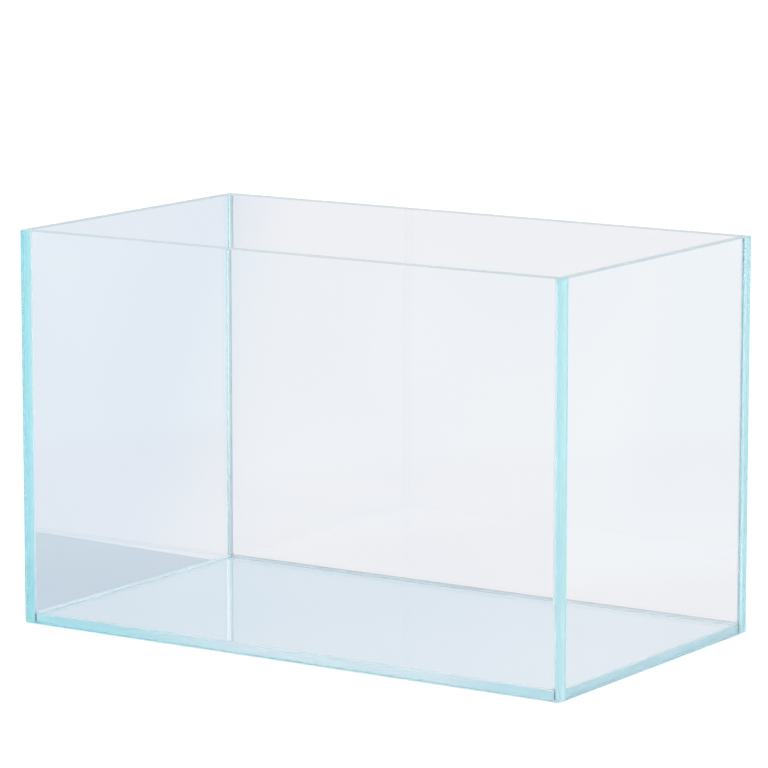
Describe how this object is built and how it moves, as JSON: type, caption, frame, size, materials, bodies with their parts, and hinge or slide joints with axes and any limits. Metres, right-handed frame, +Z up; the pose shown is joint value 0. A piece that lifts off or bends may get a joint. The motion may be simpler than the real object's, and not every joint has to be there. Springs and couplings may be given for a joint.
{
  "type": "glass aquarium tank",
  "caption": "Rimless open-topped rectangular aquarium tank of clear glass panes with ground edges, bonded at every corner and round the floor with clear silicone.",
  "frame": {"origin": "under the middle of the tank, on the surface that it stands on", "axes": "+X along the length to the right, +Y from the front face to the rear face, +Z up"},
  "size_m": [0.35, 0.2, 0.222],
  "materials": {
    "glass": "low-iron float glass, faces polished, edges ground and lightly arrised",
    "silicone": "clear aquarium silicone, smoothed, satin"
  },
  "bodies": {
    "root": {"front_pane": "glass", "rear_pane": "glass", "left_pane": "glass", "right_pane": "glass", "floor_pane": "glass", "front_left_seam": "silicone", "front_right_seam": "silicone", "rear_left_seam": "silicone", "rear_right_seam": "silicone", "front_floor_seam": "silicone", "rear_floor_seam": "silicone", "left_floor_seam": "silicone", "right_floor_seam": "silicone"}
  },
  "joints": []
}
